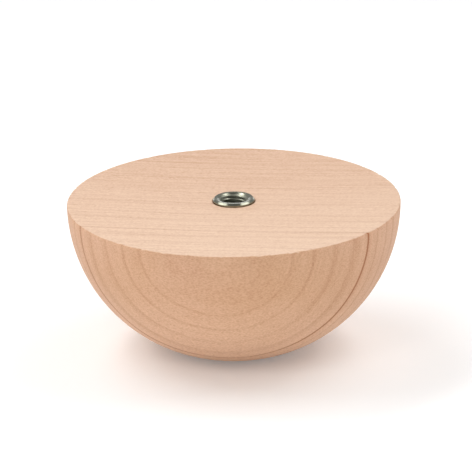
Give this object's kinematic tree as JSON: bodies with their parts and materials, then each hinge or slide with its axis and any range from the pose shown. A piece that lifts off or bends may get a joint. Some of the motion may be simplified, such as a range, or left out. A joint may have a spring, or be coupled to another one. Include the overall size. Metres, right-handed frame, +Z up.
{
  "type": "wooden furniture foot",
  "caption": "Half-ball wooden furniture foot with a flat top face, a small flat base and a threaded steel insert for bolting it under a bench, desk or cabinet.",
  "frame": {"origin": "middle of the flat base that the foot stands on", "axes": "+Z up along the turning axis, out of the threaded insert; -Y is the side with the widest growth arcs, as the picture shows it"},
  "size_m": [0.12, 0.12, 0.0562],
  "materials": {
    "beech": "raw, turned and sanded",
    "zinc_plated_steel": "zinc plated, satin"
  },
  "bodies": {
    "root": {"turned_foot": "beech", "threaded_insert": "zinc_plated_steel"}
  },
  "joints": []
}
